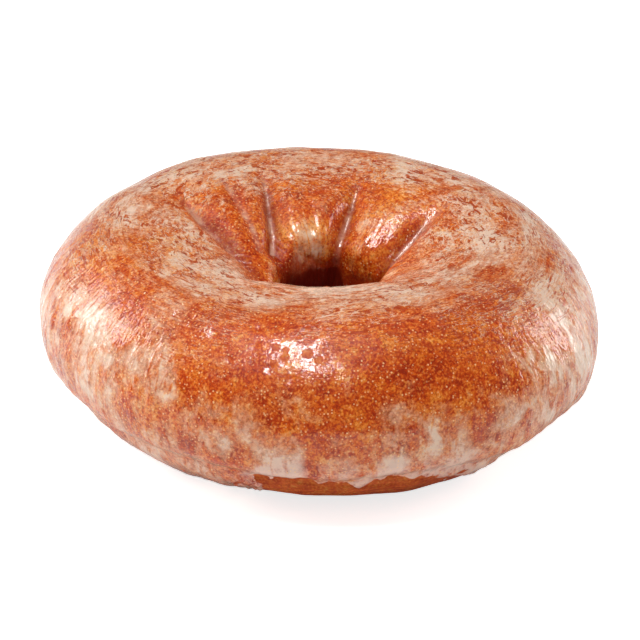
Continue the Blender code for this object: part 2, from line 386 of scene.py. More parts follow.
# The sugar glaze: icing sugar and milk poured over the warm ring. It sets as a thin milky skin
# that is drawn into streaks on the crest, wrinkles down the flanks, hangs in scallops over the
# bare base, and is worn thin where the crust shows orange through it.
GLAZE_SIZES = {
    "Edge height": 1.6 * MM,
    "Bare height": 8.4 * MM,
    "Scallop width": 4.0 * MM,
    "Scallop height": 9.0 * MM,
    "Edge bead": 0.35 * MM,
    "Streak height": 0.20 * MM,
    "Wrinkle height": 0.55 * MM,
    "Dimple depth": 0.15 * MM,
    "Dimple spacing": 3.6 * MM,
}
EDGE_SWELLS = ((1, 1.6 * MM, 90),)
# In front the glaze stopped short, between azimuths in degrees, and left the base bare
BARE_FROM, BARE_TO = (-110, -102), (-70, -40)
# The bare front's ends are ragged: width of the waves, and how many radians they sway
RAGGED_WAVES, RAGGED_SWAY = 3.5 * MM, 0.5
# The crest's side borders, in radians of the section's angle from its top
CREST_BORDER = (0.55, 1.15)
# Patterns on the skin, in millimetres: (width round the ring, width down the section)
STREAK_RELIEF, WRINKLE_RELIEF = (6, 2.4), (2.2, 6.5)
# The bead swells from the edge over the first height, and is gone between the other two
BEAD_RISE, BEAD_FALL = 1.0 * MM, (0.8 * MM, 5.0 * MM)
# The edge shows on the outer side alone, past these radians from the top of the section
OUTER_SIDE = (0.6, 1.0)
# Wrinkles fade below the edge, between these heights from it, to a share of theirs
WRINKLE_END, BARE_WRINKLES = (-0.2 * MM, 1.2 * MM), 0.25
# A dimple's floor and its border, as shares of the spacing
DIMPLE_SPAN = (0.08, 0.24)
# Places on the glaze: (middle and radius in millimetres, how much at the middle). First
# where the glaze set flat, and the share of the wrinkles gone
CALM_PLACES = (
    ((-3, -40, 28), 24, 1.0),
    ((22, -38, 26), 18, 0.4),
)
# Where the glaze ran thin or lies thick: how much milkier. The milky patch on the rear lobe's end
# also stands in for its shine, as a painted highlight.
GLAZE_LIES_AND_PAINTED_HIGHLIGHT = (
    ((23, -36, 28), 15, -0.50),
    ((13, -41, 27), 15, -0.38),
    ((4, -44, 25), 14, -0.38),
    ((-15, -37, 28), 14, -0.40),
    ((-6, -45, 23), 13, -0.32),
    ((-26, -26, 30), 11, -0.40),
    ((-18, -29, 31), 8, -0.25),
    ((24, -42, 20), 12, -0.20),
    ((31, -27, 30), 9, -0.35),
    ((-35, -10, 31), 13, -0.45),
    ((-11, 18, 31), 8, -0.10),
    ((-15, 9, 29), 10, -0.25),
    ((-6, 11, 26), 9, -0.25),
    ((-7, 9, 24), 5, -0.35),
    # Milky glaze and painted highlight on the rear lobe's end
    ((-1, 10, 24.5), 5.5, 0.55),
    ((2, 19, 29), 12, -0.25),
    ((14, 15, 29), 10, -0.35),
    ((-15, -43, 10), 7, -0.45),
    ((-10, 44, 19), 15, -0.35),
    ((-6, -38, 31), 9, -0.52),
    ((5, -38, 31), 9, -0.55),
    ((14, -37, 30), 9, -0.45),
    ((-19, -37, 26), 9, -0.25),
    ((31, -18, 31), 8, -0.30),
    ((-1, -46, 18), 7, -0.25),
    ((-41, 2, 26), 10, -0.25),
    ((38, 26, 19), 14, -0.30),
    ((-22, 24, 33), 12, 0.20),
    ((20, 28, 31), 11, 0.20),
    ((-39, -23, 21), 15, 0.05),
    ((39, -23, 24), 13, 0.05),
    ((-18, -17, 31), 10, 0.42),
    ((0, -20, 30), 10, 0.25),
    ((19, -45, 13), 9, 0.30),
    ((-12, -45, 14), 9, 0.08),
    ((-38, 24, 19), 15, 0.05),
    ((29, -4, 31), 10, 0.25),
    ((-8, 14, 27), 6, -0.40),
    ((-15, 17, 31), 6, -0.30),
    ((-14, -28, 31), 6, -0.12),
    ((-1, 20, 30), 8, -0.22),
    ((7, 18, 28), 8, -0.25),
    ((-27, -36, 22), 9, -0.08),
    ((-7, -29, 31), 7, 0.22),
    ((5, -29, 31), 7, 0.12),
    ((15, -27, 31), 7, 0.20),
    ((7, -40, 28), 9, -0.13),
    ((38, -18, 28), 9, 0.25),
    ((44, -20, 18), 9, 0.38),
    ((-26, -33, 23), 7, 0.20),
    ((-30, -21, 29), 8, -0.30),
    ((-38, -24, 21), 9, 0.22),
    ((-42, -22, 11), 12, -0.26),
    ((-29, -35, 9), 9, -0.12),
    ((-21, -7, 31), 6, -0.30),
    ((-14, -42, 24), 6, 0.10),
    ((11, -46, 21), 7, 0.12),
    ((31, -26, 30), 9, -0.20),
    ((24, -34, 28), 9, -0.20),
    ((31, -34, 25), 7, -0.12),
    ((28, -39, 19), 8, 0.12),
    ((31, -37, 11), 7, -0.15),
    ((18, -43, 9), 6, -0.30),
    ((38, -31, 13), 7, -0.12),
    ((-21, -34, 4), 7, -0.15),
    ((-42, 0, 28), 9, -0.12),
)
# Where the crust is paler or browner than the rest, on its scale of browning. The spots on the rear
# lobes by the hole are painted: the paler ones are painted light on the lobes, the browner ones
# painted shade at their lips.
CRUST_TONES_AND_PAINTED_LIGHT = (
    ((14, 17, 30), 12, 0.05),
    ((-1, 10, 24), 7, 0.09),
    ((9, 8, 22), 8, 0.03),
    ((6, 9, 17), 5, -0.06),
    ((-6, 7, 20), 6, -0.15),
    ((-34, -8, 31), 16, 0.03),
    ((23, -36, 28), 18, -0.015),
    ((-8, -8, 27), 10, -0.02),
)
# Where the glaze soaked in and is dull: the share of the shine gone
DULL_PLACES = (
    ((-21, 14, 30), 9, 0.9),
    ((-16, 9, 29), 9, 0.7),
    ((-13, 3, 26), 7, 0.8),
    ((-21, -39, 27), 9, 0.9),
    ((-12, -34, 31), 5, 0.4),
    ((13, -41, 27), 10, 0.8),
    ((23, -37, 27), 9, 0.7),
    ((7, -39, 29.5), 9, 1.2),
    ((-12.5, -37, 30), 6, 1.1),
    ((14, 9, 25), 7, 0.45),
    ((-7, 8, 23), 5, 1.0),
)
# Bubbles that popped in the shiny front
POPPED = (
    ((-6.8, -41.0, 27.4), 1.05, 1),
    ((-5.1, -40.5, 28.3), 1.1, 1),
    ((-1.5, -40.4, 28.9), 1.3, 1),
    ((-6.5, -38.7, 29.2), 1.05, 1),
    ((0.3, -41.3, 28.3), 0.95, 1),
    ((-4.9, -39.4, 29.1), 0.9, 1),
)


def on_skin(tree, flow, width_round, width_down):
    """The skin's own coordinates, scaled for a pattern that many millimetres wide each way."""
    per_pattern = (1 / (width_round * MM), 1 / (width_round * MM), 1 / (width_down * MM))
    return add_node(tree, VECTOR, flow, per_pattern, operation="MULTIPLY")


glaze, sizes_in = new_tree("sugar_glaze_skin", GLAZE_SIZES)
size = sizes_in.outputs
place = add_node(glaze, "GeometryNodeInputPosition")
level = add_node(glaze, "ShaderNodeSeparateXYZ", place).outputs["Z"]
flow = add_node(glaze, NAMED, "flow", data_type="FLOAT_VECTOR")
azimuth = add_node(glaze, NAMED, "azimuth")
section_angle = add_node(glaze, NAMED, "section_angle")

# The glaze's lower edge, and the bead that it hangs in
around = add_node(glaze, VECTOR, flow, (1, 1, 0), operation="MULTIPLY")
widths = add_node(glaze, MATH, 1.0, size["Scallop width"], operation="DIVIDE")
scallops = add_node(glaze, NOISE, around, widths, 2.0, 0.6)
scallops = add_node(glaze, MATH, scallops.outputs[0], 0.5, operation="SUBTRACT")
ragged = add_node(glaze, NOISE, place, 1.0 / RAGGED_WAVES, 2.0, 0.6)
ragged = add_node(glaze, MATH, ragged.outputs[0], 0.5, operation="SUBTRACT")
ragged = add_node(glaze, MATH, ragged, RAGGED_SWAY, azimuth, operation="MULTIPLY_ADD")
starts = add_node(glaze, RANGE, ragged, *[radians(a) for a in BARE_FROM], 0.0, 1.0, **EASED)
ends = add_node(glaze, RANGE, ragged, *[radians(a) for a in BARE_TO], 1.0, 0.0, **EASED)
bare_front = add_node(glaze, MATH, starts, ends, operation="MULTIPLY")
rim = add_node(glaze, MATH, slow_swell(glaze, azimuth, EDGE_SWELLS), size["Edge height"],
               operation="ADD")
rim = add_node(glaze, MATH, bare_front, size["Bare height"], rim, operation="MULTIPLY_ADD")
rim = add_node(glaze, MATH, scallops, size["Scallop height"], rim, operation="MULTIPLY_ADD")
above_rim = add_node(glaze, MATH, level, rim, operation="SUBTRACT")
outer_side = add_node(glaze, RANGE, section_angle, *OUTER_SIDE, 0.0, 1.0)
bead = add_node(glaze, RANGE, above_rim, 0.0, BEAD_RISE, 0.0, 1.0, **EASED)
bead_end = add_node(glaze, RANGE, above_rim, *BEAD_FALL, 1.0, 0.0, **EASED)
bead = add_node(glaze, MATH, bead, bead_end, operation="MULTIPLY")
bead = add_node(glaze, MATH, bead, outer_side, operation="MULTIPLY")
relief = add_node(glaze, MATH, bead, size["Edge bead"], operation="MULTIPLY")

# Streaks run round the crest, and wrinkles run down the flanks and into the hole
from_crest = add_node(glaze, MATH, section_angle, operation="ABSOLUTE")
on_crest = add_node(glaze, RANGE, from_crest, *CREST_BORDER, 1.0, 0.0, **EASED)
glazed = add_node(glaze, RANGE, above_rim, *WRINKLE_END, BARE_WRINKLES, 1.0)
streaks = add_node(glaze, NOISE, on_skin(glaze, flow, *STREAK_RELIEF), 1.0, 2.0, 0.55, None, 0.6)
streaks = add_node(glaze, MATH, streaks.outputs[0], 0.5, operation="SUBTRACT")
streaks = add_node(glaze, MATH, streaks, on_crest, operation="MULTIPLY")
relief = add_node(glaze, MATH, streaks, size["Streak height"], relief, operation="MULTIPLY_ADD")
wrinkles = add_node(glaze, NOISE, on_skin(glaze, flow, *WRINKLE_RELIEF), 1.0, 2.0, 0.5, None, 0.5)
wrinkles = add_node(glaze, MATH, wrinkles.outputs[0], 0.5, operation="SUBTRACT")
calm = spread_spots(glaze, place, CALM_PLACES)
wrinkled = add_node(glaze, MATH, 1.0, calm, operation="SUBTRACT", use_clamp=True)
on_flank = add_node(glaze, MATH, 1.0, on_crest, operation="SUBTRACT")
wrinkles = add_node(glaze, MATH, wrinkles, on_flank, operation="MULTIPLY")
wrinkles = add_node(glaze, MATH, wrinkles, wrinkled, operation="MULTIPLY")
wrinkles = add_node(glaze, MATH, wrinkles, glazed, operation="MULTIPLY")
relief = add_node(glaze, MATH, wrinkles, size["Wrinkle height"], relief, operation="MULTIPLY_ADD")

# Dimples where steam bubbles of the crust fell in
per_dimple = add_node(glaze, MATH, 1.0, size["Dimple spacing"], operation="DIVIDE")
dimples = add_node(glaze, "ShaderNodeTexVoronoi", place, per_dimple)
dimples = add_node(glaze, RANGE, dimples.outputs["Distance"], *DIMPLE_SPAN, 1.0, 0.0, **EASED)
dimples = add_node(glaze, MATH, dimples, size["Dimple depth"], operation="MULTIPLY")
relief = add_node(glaze, MATH, relief, dimples, operation="SUBTRACT")

# The material reads the height above the glaze's edge in millimetres, and the places
above_rim = add_node(glaze, MATH, above_rim, 1.0 / MM, operation="MULTIPLY")
lying = spread_spots(glaze, place, GLAZE_LIES_AND_PAINTED_HIGHLIGHT)
tone = spread_spots(glaze, place, CRUST_TONES_AND_PAINTED_LIGHT)
dull = spread_spots(glaze, place, DULL_PLACES)
skin = sizes_in
for name, known in (("above_rim", above_rim), ("glaze_lying_and_painted_highlight", lying), ("crust_tone_and_painted_light", tone),
                    ("calm", calm), ("dull", dull)):
    skin = add_node(glaze, STORE, skin, None, name, known)

# The relief moves the skin along its normal, but nothing sinks below the table
push = add_node(glaze, VECTOR, add_node(glaze, "GeometryNodeInputNormal"), operation="SCALE")
glaze.links.new(relief.outputs[0], push.inputs["Scale"])
skin = add_node(glaze, "GeometryNodeSetPosition", skin, None, None, push)
resting = add_node(glaze, VECTOR, place, (-1.0, -1.0, 0.0), operation="MAXIMUM")
skin = add_node(glaze, "GeometryNodeSetPosition", skin, None, resting)
skin = add_node(glaze, "GeometryNodeRealizeInstances", skin)


def srgb(code):
    """An sRGB hex colour as linear red, green, blue and alpha."""
    parts = [int(code[i : i + 2], 16) / 255 for i in (1, 3, 5)]
    return *[c / 12.92 if c <= 0.04045 else ((c + 0.055) / 1.055) ** 2.4 for c in parts], 1.0


# Fried crust under set sugar glaze. Frying browns the crust from orange to rust in specks of
# about a millimetre, and the glaze lies over it milky where thick and clear where thin, with
# air bubbles a fifth of a millimetre wide. Sugar glaze has an IOR near 1.5 and a wet shine.
SPECK_WIDTH, MOTTLE_WIDTH, PATCH_WIDTH = 0.9 * MM, 3.2 * MM, 12.0 * MM
GRANULE_WIDTH, CLOUD_WIDTH = 0.40 * MM, 5.5 * MM
BUBBLE_SPACING, POPPED_SPACING = 0.58 * MM, 4.2 * MM
PUCKER_WIDTH, CRAZE_WIDTH, CRAZE_WAVER, ISLAND_WIDTH = 1.9 * MM, 1.1 * MM, 0.8 * MM, 3.0 * MM
# Patterns on the skin, in millimetres: (width round the ring, width down the section)
FILM, STREAKS, THREADS = (15, 6), (4.5, 1.1), (2.0, 0.5)
FOLDS, TEARS, WRINKLES = (2.8, 1.1), (3.6, 1.1), (1.1, 4.5)
# How milky the glaze is on the whole, and how much of the crust the thickest glaze hides
MILKINESS, MOST_HIDDEN = 0.53, 0.84
# How far above its edge the glaze pooled, and how soft its edge is, in millimetres
POOLED_HEIGHT, EDGE_SOFTNESS = 7.0, 0.12
# Roughness of bare and of glazed crust, and how strong the glaze's clear shine is
BARE_ROUGHNESS, GLAZED_ROUGHNESS, SHINE = 0.6, 0.42, 0.95
# Browning of the crust, from rust to orange: (where on the scale of 0 to 1, colour)
DARKEST, PALEST = (0.39, "#9C2803"), (0.63, "#F6A650")
BETWEEN = ((0.45, "#C03C05"), (0.51, "#D4540B"), (0.57, "#E4781E"))
# The third colour on the next line is painted shade for the creases
SUGAR_GRAIN, PORE, CREASE_SHADE = srgb("#F8A44A"), srgb("#8E2402"), srgb("#8A2A06")
THIN_MILK, THICK_MILK, POOLED_MILK = srgb("#E8AC74"), srgb("#F3DAC2"), srgb("#F0D4C4")
TORN_FILM, AIR_BUBBLE, POPPED_BUBBLE = srgb("#B03C0A"), srgb("#FFD296"), srgb("#C2500F")
# The last colour on the next line is painted contact shade by the table
BARE_DARK, BARE_PALE, CONTACT_SHADE = srgb("#7A2A10"), srgb("#B85A34"), srgb("#4A1206")
# On the next line: a pale line that is partly a painted highlight, then painted shade for the
# lobes' lips and for the hole
POOLED_GLAZE_AND_HIGHLIGHT, LIP_SHADE, HOLE_SHADE = srgb("#E2B8A0"), srgb("#9A2C0C"), srgb("#641204")
crust = bpy.data.materials.new("sugar_glaze_on_fried_crust")
crust.use_nodes = True
tree = crust.node_tree
shader = tree.nodes["Principled BSDF"]
where = add_node(tree, "ShaderNodeTexCoord").outputs["Object"]
# What the two trees stored of each point
flow = add_node(tree, "ShaderNodeAttribute", attribute_name="flow").outputs["Vector"]
(lying, tone, calm, dull, above_rim, section_angle, pleat_depth, pleat_bottom, turning) = [
    add_node(tree, "ShaderNodeAttribute", attribute_name=name).outputs["Fac"]
    for name in ("glaze_lying_and_painted_highlight", "crust_tone_and_painted_light", "calm", "dull", "above_rim", "section_angle",
                 "pleat_depth", "pleat_bottom", "turning")]

# The crust's browning: specks on a mottle on broad patches
grain = add_node(tree, NOISE, where, 1 / SPECK_WIDTH, 4.0, 0.78, None, 0.6)
mottle = add_node(tree, NOISE, where, 1 / MOTTLE_WIDTH, 3.0, 0.6)
patches = add_node(tree, NOISE, where, 1 / PATCH_WIDTH, 2.0, 0.5)
browning = add_node(tree, MATH, grain.outputs[0], 0.55, operation="MULTIPLY")
browning = add_node(tree, MATH, mottle.outputs[0], 0.30, browning, operation="MULTIPLY_ADD")
browning = add_node(tree, MATH, patches.outputs[0], 0.15, browning, operation="MULTIPLY_ADD")
# The listed tones shift the browning, with painted light and shade on the rear lobes by the hole
browning = add_node(tree, MATH, browning, tone, operation="ADD")
browned = add_node(tree, "ShaderNodeValToRGB", browning)
ramp = browned.color_ramp
for stop, (position, code) in zip(ramp.elements, (DARKEST, PALEST)):
    stop.position, stop.color = position, srgb(code)
for position, code in BETWEEN:
    ramp.elements.new(position).color = srgb(code)

# Sugar grains and pores, a third of a millimetre wide
granules = add_node(tree, NOISE, where, 1 / GRANULE_WIDTH, 1.0, 0.5)
bright = add_node(tree, RANGE, granules.outputs[0], 0.54, 0.68, 0.0, 0.40)
pores = add_node(tree, RANGE, granules.outputs[0], 0.47, 0.33, 0.0, 0.50)
browned = add_node(tree, MIX, bright, browned, SUGAR_GRAIN, **COLOURS)
browned = add_node(tree, MIX, pores, browned, PORE, **COLOURS)

# The milky veil: a film drawn out round the crest, clouds on the flanks, whitest above the
# glaze's edge. Its borders fray into streaks half a millimetre wide.
from_crest = add_node(tree, MATH, section_angle, operation="ABSOLUTE")
on_crest = add_node(tree, RANGE, from_crest, 0.45, 1.1, 1.0, 0.0, **EASED)
film = add_node(tree, NOISE, on_skin(tree, flow, *FILM), 1.0, 3.0, 0.55, None, 0.4)
streaks = add_node(tree, NOISE, on_skin(tree, flow, *STREAKS), 1.0, 3.0, 0.6, None, 0.9)
clouds = add_node(tree, NOISE, where, 1 / CLOUD_WIDTH, 5.0, 0.6, None, 0.4)
near_hole = add_node(tree, RANGE, section_angle, -0.10, -0.50, 0.0, 1.0, **EASED)
clouded = add_node(tree, MIX, 0.30, film.outputs[0], clouds.outputs[0])
streaked = add_node(tree, MATH, near_hole, 0.35, 0.35, operation="MULTIPLY_ADD")
drawn = add_node(tree, MATH, streaks.outputs[0], 0.5, operation="SUBTRACT")
drawn = add_node(tree, MATH, drawn, streaked, clouded, operation="MULTIPLY_ADD")
threads = add_node(tree, NOISE, on_skin(tree, flow, *THREADS), 1.0, 2.0, 0.6, None, 0.9)
fraying = add_node(tree, MATH, threads.outputs[0], 0.5, operation="SUBTRACT")
drawn = add_node(tree, MATH, fraying, streaked, drawn, operation="MULTIPLY_ADD")

# Here and there on the crest the film lies in folds, each a milky ridge
folding = add_node(tree, NOISE, on_skin(tree, flow, *FOLDS), 1.0, 2.0, 0.5, None, 1.6)
folding = add_node(tree, MATH, folding.outputs[0], 0.5, operation="SUBTRACT")
folding = add_node(tree, MATH, folding, operation="ABSOLUTE")
ridges = add_node(tree, RANGE, folding, 0.0, 0.028, 1.0, 0.0)
folded = add_node(tree, RANGE, patches.outputs[0], 0.42, 0.54, 0.15, 1.0)
folded = add_node(tree, MATH, folded, on_crest, operation="MULTIPLY")
ridges = add_node(tree, MATH, ridges, folded, operation="MULTIPLY")

# How milky: thickest above the edge, thin where the glaze ran off into the hole and creases
milk = add_node(tree, MIX, on_crest, clouds.outputs[0], drawn)
milk = add_node(tree, RANGE, milk, 0.25, 0.75, -0.75, 0.75)
milk = add_node(tree, MATH, milk, MILKINESS, operation="ADD")
milk = add_node(tree, MATH, milk, lying, operation="ADD")
pooled = add_node(tree, RANGE, above_rim, 0.0, POOLED_HEIGHT, 0.25, 0.0, **EASED)
milk = add_node(tree, MATH, milk, pooled, operation="ADD")
ran_off = add_node(tree, RANGE, section_angle, -0.75, -1.3, 0.0, 0.38, **EASED)
milk = add_node(tree, MATH, milk, ran_off, operation="SUBTRACT")
creased = add_node(tree, RANGE, pleat_depth, 0.3 * MM, 1.3 * MM, 0.0, 0.55, **EASED)
milk = add_node(tree, MATH, milk, creased, operation="SUBTRACT")
grains = add_node(tree, MATH, grain.outputs[0], 0.5, operation="SUBTRACT")
milk = add_node(tree, MATH, grains, 1.3, milk, operation="MULTIPLY_ADD")
mottling = add_node(tree, MATH, mottle.outputs[0], 0.5, operation="SUBTRACT")
milk = add_node(tree, MATH, mottling, 0.3, milk, operation="MULTIPLY_ADD")
milk = add_node(tree, MATH, ridges, 1.1, milk, operation="MULTIPLY_ADD")

# The film is torn in dashes among its folds, and split by wrinkles down the flanks
tearing = add_node(tree, NOISE, on_skin(tree, flow, *TEARS), 1.0, 3.0, 0.6, None, 1.2)
torn = add_node(tree, RANGE, tearing.outputs[0], 0.56, 0.61, 0.0, 1.0)
torn = add_node(tree, MATH, torn, folded, operation="MULTIPLY")
milk = add_node(tree, MATH, milk, torn, operation="SUBTRACT")
wrinkles = add_node(tree, NOISE, on_skin(tree, flow, *WRINKLES), 1.0, 2.0, 0.55, None, 0.5)
split = add_node(tree, RANGE, wrinkles.outputs[0], 0.52, 0.68, 0.0, 0.5)
off_crest = add_node(tree, MATH, 1.0, on_crest, operation="SUBTRACT")
split = add_node(tree, MATH, split, off_crest, operation="MULTIPLY")
unwrinkled = add_node(tree, MATH, 1.0, calm, operation="SUBTRACT", use_clamp=True)
split = add_node(tree, MATH, split, unwrinkled, operation="MULTIPLY")
milk = add_node(tree, MATH, milk, split, operation="SUBTRACT")
on_glaze = add_node(tree, RANGE, above_rim, -EDGE_SOFTNESS, EDGE_SOFTNESS, 0.0, 1.0)
milk = add_node(tree, MATH, milk, on_glaze, operation="MULTIPLY", use_clamp=True)

# The veil's colour, whiter the thicker it is
veil = add_node(tree, MATH, milk, MOST_HIDDEN, operation="MULTIPLY")
thickness = add_node(tree, RANGE, pooled, 0.0, 0.2, 0.0, 1.0)
thin = add_node(tree, RANGE, milk, 0.25, 0.95, 0.0, 1.0)
milky = add_node(tree, MIX, thin, THIN_MILK, THICK_MILK, **COLOURS)
milky = add_node(tree, MIX, thickness, milky, POOLED_MILK, **COLOURS)
coloured = add_node(tree, MIX, veil, browned, milky, **COLOURS)
dashes = add_node(tree, MATH, torn, 0.8, operation="MULTIPLY")
coloured = add_node(tree, MIX, dashes, coloured, TORN_FILM, **COLOURS)

# Air bubbles in the glaze, each a pale dot
bubbles = add_node(tree, "ShaderNodeTexVoronoi", where, 1 / BUBBLE_SPACING)
dots = add_node(tree, RANGE, bubbles.outputs["Distance"], 0.15, 0.32, 1.0, 0.0)
chosen = add_node(tree, "ShaderNodeSeparateXYZ", bubbles.outputs["Color"])
kept = add_node(tree, RANGE, chosen.outputs["X"], 0.25, 0.9, 0.0, 1.0)
dots = add_node(tree, MATH, dots, kept, operation="MULTIPLY")
dots = add_node(tree, MATH, dots, on_glaze, operation="MULTIPLY")
dot_colour = add_node(tree, MATH, dots, 0.88, operation="MULTIPLY")
coloured = add_node(tree, MIX, dot_colour, coloured, AIR_BUBBLE, **COLOURS)

# Larger bubbles popped, and left round holes a millimetre wide with no glaze in them
popped = add_node(tree, "ShaderNodeTexVoronoi", where, 1 / POPPED_SPACING)
holes = add_node(tree, RANGE, popped.outputs["Distance"], 0.10, 0.13, 1.0, 0.0)
chosen = add_node(tree, "ShaderNodeSeparateXYZ", popped.outputs["Color"])
kept = add_node(tree, RANGE, chosen.outputs["Y"], 0.45, 0.50, 0.0, 1.0)
holes = add_node(tree, MATH, holes, kept, operation="MULTIPLY")
frayed = add_node(tree, MATH, grain.outputs[0], 1.2, spread_spots(tree, where, POPPED),
                  operation="MULTIPLY_ADD")
popped = add_node(tree, RANGE, frayed, 0.85, 1.05, 0.0, 1.0)
holes = add_node(tree, MATH, holes, popped, operation="MAXIMUM")
hole_colour = add_node(tree, MATH, holes, 0.35, operation="MULTIPLY")
coloured = add_node(tree, MIX, hole_colour, coloured, POPPED_BUBBLE, **COLOURS)

# Below the edge the crust is bare: redder, darker and dull, and darkened towards the table by
# painted contact shade
bare = add_node(tree, RANGE, streaks.outputs[0], 0.35, 0.65, 0.0, 1.0)
bare = add_node(tree, MIX, bare, BARE_DARK, BARE_PALE, **COLOURS)
bare = add_node(tree, MIX, 0.6, browned, bare, **COLOURS)
level = add_node(tree, "ShaderNodeSeparateXYZ", where).outputs["Z"]
# Painted contact shade, darker towards the table
painted_contact_shade = add_node(tree, RANGE, level, 0.3 * MM, 3.0 * MM, 0.75, 0.0)
painted_contact_shade = add_node(tree, MATH, mottle.outputs[0], painted_contact_shade, painted_contact_shade, operation="MULTIPLY_ADD")
painted_contact_shade = add_node(tree, MATH, painted_contact_shade, 0.7, operation="MULTIPLY", use_clamp=True)
bare = add_node(tree, MIX, painted_contact_shade, bare, CONTACT_SHADE, **COLOURS)
coloured = add_node(tree, MIX, on_glaze, bare, coloured, **COLOURS)

# Painted shade: pleats are darkened inside, with a pale line along the bottom that is partly pooled
# glaze and partly a painted highlight. The lobes' lips are darkened too, and down in the hole the
# crust is darkest, all painted shade, but not on the underside.
painted_crease_shade = add_node(tree, RANGE, pleat_depth, 1.3 * MM, 2.6 * MM, 0.0, 0.5, **EASED)
coloured = add_node(tree, MIX, painted_crease_shade, coloured, CREASE_SHADE, **COLOURS)
# Pale line along a pleat's bottom: partly pooled glaze, partly a painted highlight
pooled_glaze_and_painted_highlight = add_node(tree, RANGE, mottle.outputs[0], 0.42, 0.58, 0.15, 0.72)
pooled_glaze_and_painted_highlight = add_node(tree, MATH, pooled_glaze_and_painted_highlight, pleat_bottom, operation="MULTIPLY")
coloured = add_node(tree, MIX, pooled_glaze_and_painted_highlight, coloured, POOLED_GLAZE_AND_HIGHLIGHT, **COLOURS)
# Painted shade on the lobes' lips as they turn down into the hole
painted_lip_shade = add_node(tree, RANGE, turning, -1.48, -1.60, 0.0, 0.75, **EASED)
# Painted shade, darkest, down in the hole
painted_hole_shade = add_node(tree, RANGE, turning, -1.62, -1.76, 0.0, 0.98, **EASED)
under = add_node(tree, RANGE, section_angle, -2.4, -2.7, 1.0, 0.0)
painted_lip_shade = add_node(tree, MATH, painted_lip_shade, under, operation="MULTIPLY")
painted_hole_shade = add_node(tree, MATH, painted_hole_shade, under, operation="MULTIPLY")
coloured = add_node(tree, MIX, painted_lip_shade, coloured, LIP_SHADE, **COLOURS)
coloured = add_node(tree, MIX, painted_hole_shade, coloured, HOLE_SHADE, **COLOURS)
tree.links.new(coloured.outputs[2], shader.inputs["Base Color"])

# Relief too fine for the mesh, its heights in millimetres: the set skin puckers, wrinkles
# down the flanks, and is crazed where it is clear
puckers = add_node(tree, NOISE, where, 1 / PUCKER_WIDTH, 2.0, 0.5, None, 1.0)
puckered = add_node(tree, RANGE, on_crest, 0.0, 0.5, 0.03, 0.05)
bumps = add_node(tree, MATH, puckers.outputs[0], puckered, operation="MULTIPLY")
on_flank = add_node(tree, RANGE, section_angle, 0.2, 1.0, 0.04, 0.42)
wrinkled = add_node(tree, MATH, wrinkles.outputs[0], on_flank, operation="MULTIPLY")
wrinkled = add_node(tree, MATH, wrinkled, unwrinkled, operation="MULTIPLY")
bumps = add_node(tree, MATH, bumps, wrinkled, operation="ADD")
crazed = add_node(tree, MATH, puckers.outputs[0], CRAZE_WAVER, operation="MULTIPLY")
crazed = add_node(tree, VECTOR, where, crazed, operation="ADD")
cracked = add_node(tree, "ShaderNodeTexVoronoi", crazed, 1 / CRAZE_WIDTH,
                   feature="DISTANCE_TO_EDGE")
crazed = add_node(tree, RANGE, cracked, 0.0, 0.22, 0.0, 1.0, **EASED)
clear = add_node(tree, MATH, 1.0, milk, operation="SUBTRACT")
clear = add_node(tree, MATH, clear, 0.016, operation="MULTIPLY")
bumps = add_node(tree, MATH, crazed, clear, bumps, operation="MULTIPLY_ADD")
for feature, height in ((holes, -0.06), (ridges, 0.06), (torn, -0.05), (grain, 0.012),
                        (dots, 0.035), (milk, 0.015)):
    bumps = add_node(tree, MATH, feature, height, bumps, operation="MULTIPLY_ADD")
bump = add_node(tree, "ShaderNodeBump")
strength = add_node(tree, RANGE, calm, 0.0, 1.0, 1.0, 0.42)
tree.links.new(strength.outputs[0], bump.inputs["Strength"])
bump.inputs["Distance"].default_value = MM
tree.links.new(bumps.outputs[0], bump.inputs["Height"])
tree.links.new(bump.outputs[0], shader.inputs["Normal"])
tree.links.new(bump.outputs[0], shader.inputs["Coat Normal"])

# Bare crust is dull. The glaze shines as a clear coat, with none in popped bubbles and dull
# places, and in front and by the hole it shines in islands parted by the crazing.
rough = add_node(tree, RANGE, on_glaze, 0.0, 1.0, BARE_ROUGHNESS, GLAZED_ROUGHNESS)
tree.links.new(rough.outputs[0], shader.inputs["Roughness"])
coat = add_node(tree, RANGE, on_glaze, 0.0, 1.0, 0.0, SHINE)
coat = add_node(tree, MIX, holes, coat, 0.0)
coat = add_node(tree, MIX, dull, coat, 0.0)
islands = add_node(tree, NOISE, where, 1 / ISLAND_WIDTH, 4.0, 0.68, None, 0.8)
islands = add_node(tree, MATH, calm, 0.05, islands.outputs[0], operation="MULTIPLY_ADD")
islands = add_node(tree, RANGE, islands, 0.42, 0.47, 0.10, 1.0)
cracks = add_node(tree, RANGE, cracked, 0.02, 0.10, 0.3, 1.0)
islands = add_node(tree, MATH, islands, cracks, operation="MULTIPLY")
broken = add_node(tree, MATH, calm, near_hole, operation="MAXIMUM")
beside_line = add_node(tree, MATH, 1.0, pleat_bottom, operation="SUBTRACT")
broken = add_node(tree, MATH, broken, beside_line, operation="MULTIPLY", use_clamp=True)
islands = add_node(tree, MIX, broken, 1.0, islands)
coat = add_node(tree, MATH, coat, islands, operation="MULTIPLY")
tree.links.new(coat.outputs[0], shader.inputs["Coat Weight"])
shader.inputs["IOR"].default_value = 1.45
shader.inputs["Specular IOR Level"].default_value = 0.15
shader.inputs["Coat IOR"].default_value = 1.54
shader.inputs["Coat Roughness"].default_value = 0.06

